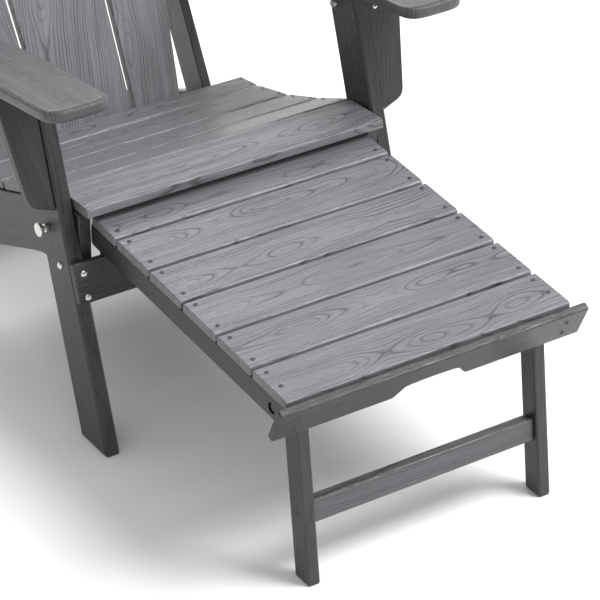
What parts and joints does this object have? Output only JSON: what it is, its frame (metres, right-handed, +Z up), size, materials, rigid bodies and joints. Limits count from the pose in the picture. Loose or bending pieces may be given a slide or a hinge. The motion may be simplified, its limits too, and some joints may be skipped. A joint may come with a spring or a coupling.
{
  "type": "adirondack chair",
  "caption": "Folding garden armchair of plastic-lumber boards with a contoured slatted seat, broad arms, a fan back and a pull-out slatted footrest on folding legs.",
  "frame": {"origin": "middle of the whole footprint on the ground, under the chair and its pulled-out footrest", "axes": "+Z up, +Y to the back of the chair, +X to the right as seen from the front, which is the sitter's left; node names ending in right are at +X"},
  "size_m": [0.7028, 1.3166, 0.9037],
  "materials": {
    "slat_lumber": "satin embossed wood grain",
    "arm_lumber": "satin fine straight grain",
    "frame_lumber": "satin fine straight grain",
    "bolt_steel": "satin zinc plate",
    "screw_black": "blackened, semi-gloss",
    "glide_nylon": "smooth"
  },
  "bodies": {
    "seat_frame": {"stringer_right": "frame_lumber", "stringer_left": "frame_lumber", "seat_slat_1": "slat_lumber", "seat_slat_2": "slat_lumber", "seat_slat_3": "slat_lumber", "seat_slat_4": "slat_lumber", "seat_slat_5": "slat_lumber", "rear_spreader": "frame_lumber", "leg_pivot_bolt_right": "bolt_steel", "leg_pivot_bolt_left": "bolt_steel", "back_pivot_bolt_right": "bolt_steel", "back_pivot_bolt_left": "bolt_steel"},
    "front_frame": {"front_leg_right": "frame_lumber", "front_leg_left": "frame_lumber", "apron": "frame_lumber", "arm_fin_right": "frame_lumber", "arm_fin_left": "frame_lumber", "apron_bolt_lower_right": "bolt_steel", "apron_bolt_lower_left": "bolt_steel", "apron_bolt_upper_right": "bolt_steel", "apron_bolt_upper_left": "bolt_steel"},
    "arms": {"arm_right": "arm_lumber", "arm_left": "arm_lumber", "arm_block_right": "frame_lumber", "arm_block_left": "frame_lumber", "arm_rear_bracket_right": "frame_lumber", "arm_rear_bracket_left": "frame_lumber", "arm_pivot_bolt_right": "bolt_steel", "arm_pivot_bolt_left": "bolt_steel", "arm_back_bolt_right": "bolt_steel", "arm_back_bolt_left": "bolt_steel"},
    "back": {"back_slat_centre": "slat_lumber", "back_slat_right": "slat_lumber", "back_slat_left": "slat_lumber", "back_stile_right": "frame_lumber", "back_stile_left": "frame_lumber", "back_rail_lower": "frame_lumber", "back_rail_middle": "frame_lumber", "back_rail_upper": "frame_lumber"},
    "rail_glides": {"rail_glide_right": "glide_nylon", "rail_glide_left": "glide_nylon"},
    "footrest": {"footrest_slat_1": "slat_lumber", "footrest_slat_2": "slat_lumber", "footrest_slat_3": "slat_lumber", "footrest_slat_4": "slat_lumber", "footrest_slat_5": "slat_lumber", "footrest_slat_6": "slat_lumber", "footrest_rail_right": "frame_lumber", "footrest_rail_left": "frame_lumber", "footrest_front_board": "frame_lumber", "footrest_rear_bar": "frame_lumber", "footrest_leg_bolt_right": "screw_black", "footrest_leg_bolt_left": "screw_black"},
    "footrest_legs": {"footrest_leg_right": "frame_lumber", "footrest_leg_left": "frame_lumber", "footrest_stretcher": "frame_lumber"},
    "lock_pin_left": {"lock_pin_left": "bolt_steel"},
    "lock_pin_right": {"lock_pin_right": "bolt_steel"}
  },
  "joints": [
    {"name": "leg_fold", "type": "hinge", "parent": "seat_frame", "child": "front_frame", "pos_m": [0, -0.11268, 0.27], "axis": [1, 0, 0], "range_deg": [0, 35]},
    {"name": "back_fold", "type": "hinge", "parent": "seat_frame", "child": "back", "pos_m": [0, 0.31732, 0.19], "axis": [1, 0, 0], "range_deg": [0, 35]},
    {"name": "arm_fold", "type": "hinge", "parent": "front_frame", "child": "arms", "pos_m": [0, -0.00869, 0.503], "axis": [1, 0, 0], "range_deg": [-35, 0]},
    {"name": "footrest_tilt", "type": "hinge", "parent": "seat_frame", "child": "rail_glides", "pos_m": [0, -0.14369, 0.291], "axis": [-1, 0, 0], "range_deg": [0, 30.1]},
    {"name": "footrest_slide", "type": "slide", "parent": "rail_glides", "child": "footrest", "axis": [0, 0.9974, 0.0715], "range_m": [0, 0.25]},
    {"name": "footrest_leg_fold", "type": "hinge", "parent": "footrest", "child": "footrest_legs", "pos_m": [0, -0.60089, 0.2753], "axis": [1, 0, 0], "range_deg": [0, 100.5]},
    {"name": "lock_pin_left_pull", "type": "slide", "parent": "front_frame", "child": "lock_pin_left", "axis": [-1, 0, 0], "range_m": [0, 0.06]},
    {"name": "lock_pin_right_pull", "type": "slide", "parent": "front_frame", "child": "lock_pin_right", "axis": [1, 0, 0], "range_m": [0, 0.06]}
  ],
  "couplings": [
    {"joint": "back_fold", "follows": "leg_fold", "ratio": 1},
    {"joint": "arm_fold", "follows": "leg_fold", "ratio": -1},
    {"joint": "footrest_tilt", "follows": "footrest_slide", "rad_per_m": 2.0944}
  ]
}
